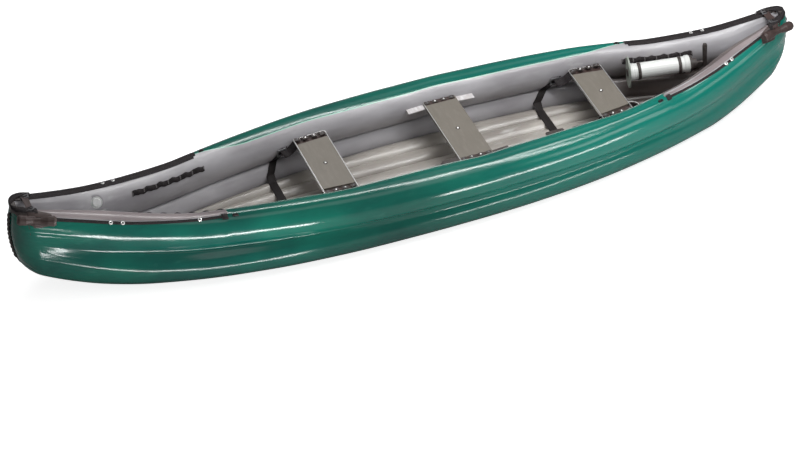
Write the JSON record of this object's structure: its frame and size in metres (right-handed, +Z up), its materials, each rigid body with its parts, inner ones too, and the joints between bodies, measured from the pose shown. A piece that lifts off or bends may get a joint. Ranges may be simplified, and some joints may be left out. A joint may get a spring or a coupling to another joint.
{
  "type": "inflatable canoe",
  "caption": "Open two-ended inflatable canoe: stacked side tubes, ribbed inflated floor, bench boards across the cockpit, thigh straps, stowed hand pump and drain sump.",
  "frame": {"origin": "on the ground under the middle of the boat", "axes": "+X toward the stern, +Y toward starboard, +Z up"},
  "size_m": [4.452, 0.9522, 0.5929],
  "materials": {
    "green_hull_rubber": "glossy green synthetic rubber on woven fabric",
    "grey_floor_rubber": "pale grey rubber-coated fabric",
    "black_webbing": "matt black webbing and reinforced rubber",
    "black_rubber": "matt black rubber",
    "black_plastic": "black moulded plastic",
    "grey_valve_plastic": "grey moulded plastic",
    "buckle_plastic": "dark grey moulded plastic",
    "grey_green_plastic": "grey-green moulded plastic",
    "white_pump_plastic": "white plastic pipe",
    "brushed_aluminium": "brushed aluminium",
    "grey_seat_board": "warm grey fine-grained board"
  },
  "bodies": {
    "hull": {"port_upper_tube": "green_hull_rubber", "starboard_upper_tube": "green_hull_rubber", "port_lower_tube": "green_hull_rubber", "starboard_lower_tube": "green_hull_rubber", "inflatable_floor": "grey_floor_rubber", "bow_nose_cap": "black_webbing", "stern_nose_cap": "black_webbing", "bow_port_deck_strip": "black_webbing", "bow_starboard_deck_strip": "black_webbing", "stern_port_deck_strip": "black_webbing", "stern_starboard_deck_strip": "black_webbing", "bow_port_daisy_chain": "black_webbing", "bow_starboard_daisy_chain": "black_webbing", "stern_port_daisy_chain": "black_webbing", "stern_starboard_daisy_chain": "black_webbing", "bow_cross_strap": "black_webbing", "stern_cross_strap": "black_webbing", "bow_seat_board": "grey_seat_board", "bow_seat_rim": "brushed_aluminium", "bow_seat_port_bracket": "black_rubber", "bow_seat_starboard_bracket": "black_rubber", "stern_seat_board": "grey_seat_board", "stern_seat_rim": "brushed_aluminium", "stern_seat_port_bracket": "black_rubber", "stern_seat_starboard_bracket": "black_rubber", "centre_seat_board": "grey_seat_board", "centre_seat_port_rail": "brushed_aluminium", "centre_seat_starboard_rail": "brushed_aluminium", "bow_thigh_strap": "black_webbing", "stern_thigh_strap": "black_webbing", "sump_tray": "black_rubber", "pump_barrel": "white_pump_plastic", "pump_foot_plate": "grey_green_plastic", "pump_gland_nut": "white_pump_plastic", "pump_fore_strap": "black_webbing", "pump_aft_strap": "black_webbing", "port_upper_valve_body": "grey_valve_plastic", "starboard_upper_valve_body": "grey_valve_plastic", "port_lower_valve_body": "grey_valve_plastic", "starboard_lower_valve_body": "grey_valve_plastic", "floor_valve_body": "grey_valve_plastic"},
    "pump_plunger": {"pump_plunger": "black_plastic", "pump_piston": "black_rubber"},
    "drain_plug": {"drain_plug": "grey_green_plastic"},
    "bow_carry_handle": {"bow_carry_handle": "black_webbing"},
    "stern_carry_handle": {"stern_carry_handle": "black_webbing"},
    "bow_strap_buckle": {"bow_strap_buckle": "buckle_plastic"},
    "stern_strap_buckle": {"stern_strap_buckle": "buckle_plastic"},
    "port_upper_valve_cap": {"port_upper_valve_cap": "grey_valve_plastic"},
    "port_upper_valve_stem": {"port_upper_valve_stem": "black_rubber"},
    "starboard_upper_valve_cap": {"starboard_upper_valve_cap": "grey_valve_plastic"},
    "starboard_upper_valve_stem": {"starboard_upper_valve_stem": "black_rubber"},
    "port_lower_valve_cap": {"port_lower_valve_cap": "grey_valve_plastic"},
    "port_lower_valve_stem": {"port_lower_valve_stem": "black_rubber"},
    "starboard_lower_valve_cap": {"starboard_lower_valve_cap": "grey_valve_plastic"},
    "starboard_lower_valve_stem": {"starboard_lower_valve_stem": "black_rubber"},
    "floor_valve_cap": {"floor_valve_cap": "grey_valve_plastic"},
    "floor_valve_stem": {"floor_valve_stem": "black_rubber"}
  },
  "joints": [
    {"name": "pump_stroke", "type": "slide", "parent": "hull", "child": "pump_plunger", "axis": [0.9712, -0.2313, 0.0576], "range_m": [0, 0.045]},
    {"name": "port_upper_valve_cap_turn", "type": "hinge", "parent": "hull", "child": "port_upper_valve_cap", "pos_m": [-1.765, -0.04185, 0.41395], "axis": [0, 0.8713, 0.4907], "range_deg": [0, 90]},
    {"name": "port_upper_valve_stem_push", "type": "slide", "parent": "hull", "child": "port_upper_valve_stem", "axis": [0, -0.8713, -0.4907], "range_m": [0, 0.004], "stiffness_N_per_m": 300},
    {"name": "starboard_upper_valve_cap_turn", "type": "hinge", "parent": "hull", "child": "starboard_upper_valve_cap", "pos_m": [-1.765, 0.04185, 0.41395], "axis": [0, -0.8713, 0.4907], "range_deg": [0, 90]},
    {"name": "starboard_upper_valve_stem_push", "type": "slide", "parent": "hull", "child": "starboard_upper_valve_stem", "axis": [0, 0.8713, -0.4907], "range_m": [0, 0.004], "stiffness_N_per_m": 300},
    {"name": "port_lower_valve_cap_turn", "type": "hinge", "parent": "hull", "child": "port_lower_valve_cap", "pos_m": [1.14999, -0.19815, 0.159], "axis": [0, 0.8832, 0.469], "range_deg": [0, 90]},
    {"name": "port_lower_valve_stem_push", "type": "slide", "parent": "hull", "child": "port_lower_valve_stem", "axis": [0, -0.8832, -0.469], "range_m": [0, 0.004], "stiffness_N_per_m": 300},
    {"name": "starboard_lower_valve_cap_turn", "type": "hinge", "parent": "hull", "child": "starboard_lower_valve_cap", "pos_m": [1.14999, 0.19815, 0.159], "axis": [0, -0.8832, 0.469], "range_deg": [0, 90]},
    {"name": "starboard_lower_valve_stem_push", "type": "slide", "parent": "hull", "child": "starboard_lower_valve_stem", "axis": [0, 0.8832, -0.469], "range_m": [0, 0.004], "stiffness_N_per_m": 300},
    {"name": "floor_valve_cap_turn", "type": "hinge", "parent": "hull", "child": "floor_valve_cap", "pos_m": [-1.265, 0, 0.122], "axis": [0, 0, 1], "range_deg": [0, 90]},
    {"name": "floor_valve_stem_push", "type": "slide", "parent": "hull", "child": "floor_valve_stem", "axis": [0, 0, -1], "range_m": [0, 0.004], "stiffness_N_per_m": 300},
    {"name": "drain_plug_turn", "type": "hinge", "parent": "hull", "child": "drain_plug", "pos_m": [1.275, 0, 0.035], "axis": [0, 0, 1], "range_deg": [0, 90]},
    {"name": "bow_handle_swing", "type": "hinge", "parent": "hull", "child": "bow_carry_handle", "pos_m": [-2.135, -0.09889, 0.55269], "axis": [-0.9565, 0.2352, 0.1725], "range_deg": [0, 70]},
    {"name": "stern_handle_swing", "type": "hinge", "parent": "hull", "child": "stern_carry_handle", "pos_m": [2.135, -0.08606, 0.5145], "axis": [-0.9738, -0.2272, -0.0108], "range_deg": [0, 70]},
    {"name": "bow_buckle_tilt", "type": "hinge", "parent": "hull", "child": "bow_strap_buckle", "pos_m": [-0.67789, 0.23144, 0.2871], "axis": [-0.9902, -0.1398, 0], "range_deg": [0, 35]},
    {"name": "stern_buckle_tilt", "type": "hinge", "parent": "hull", "child": "stern_strap_buckle", "pos_m": [0.94127, 0.23437, 0.28712], "axis": [-0.9995, 0.0316, -0.0004], "range_deg": [0, 35]}
  ]
}
